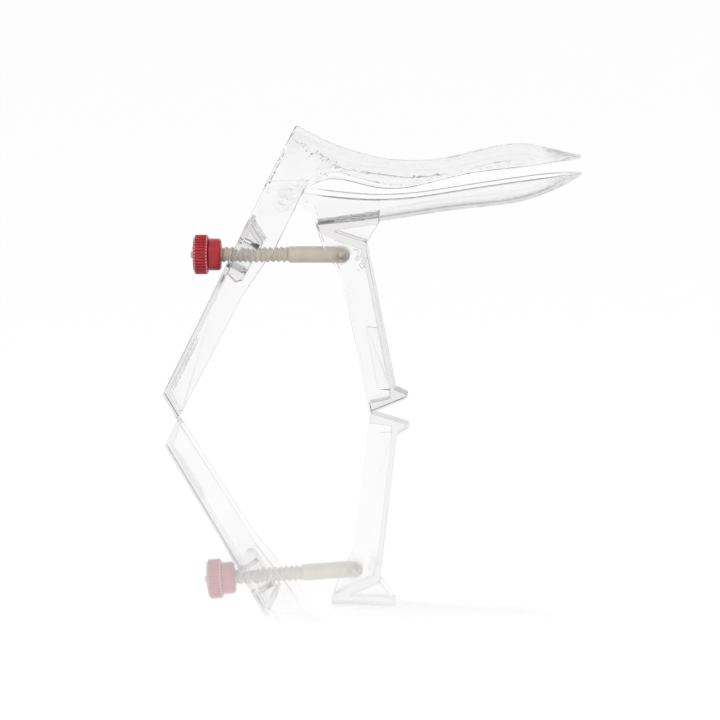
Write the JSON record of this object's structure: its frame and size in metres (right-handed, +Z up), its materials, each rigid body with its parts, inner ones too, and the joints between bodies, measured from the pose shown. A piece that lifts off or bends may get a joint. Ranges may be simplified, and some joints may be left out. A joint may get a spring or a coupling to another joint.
{
  "type": "bivalve speculum",
  "caption": "Clear bivalve speculum: two hinged blades with channel-shaped handles, held apart by a swinging screw and a ribbed thumb nut.",
  "frame": {"origin": "on the table, under the middle of the object's length and width, with the blades closed and both handles standing on the table", "axes": "+X from the handles towards the blade tips, +Y across the blades, +Z up"},
  "size_m": [0.1706, 0.0348, 0.1159],
  "materials": {
    "clear_moulding": "clear, glossy",
    "ivory_screw": "satin",
    "red_nut": "glossy",
    "red_collar": "glossy"
  },
  "bodies": {
    "lower": {"lower_valve": "clear_moulding"},
    "upper": {"upper_valve": "clear_moulding"},
    "swing_screw": {"screw": "ivory_screw"},
    "collar": {"thrust_collar": "red_collar"},
    "nut": {"thumb_nut": "red_nut"}
  },
  "joints": [
    {"name": "valve_hinge", "type": "hinge", "parent": "lower", "child": "upper", "pos_m": [-0.033, 0, 0.0872], "axis": [0, -1, 0], "range_deg": [0, 25]},
    {"name": "screw_swing", "type": "hinge", "parent": "lower", "child": "swing_screw", "pos_m": [-0.0115, 0, 0.0634], "axis": [0, -1, 0], "range_deg": [0, 13]},
    {"name": "nut_travel", "type": "slide", "parent": "swing_screw", "child": "collar", "axis": [0.9993, 0, -0.0366], "range_m": [0, 0.0133]},
    {"name": "nut_turn", "type": "hinge", "parent": "collar", "child": "nut", "pos_m": [-0.0115, 0, 0.0634], "axis": [0.9993, 0, -0.0366], "range_deg": [0, 2165]}
  ],
  "couplings": [
    {"joint": "screw_swing", "follows": "valve_hinge", "ratio": 0.496},
    {"joint": "nut_travel", "follows": "valve_hinge", "m_per_rad": 0.03025},
    {"joint": "nut_turn", "follows": "valve_hinge", "ratio": 86.394}
  ]
}
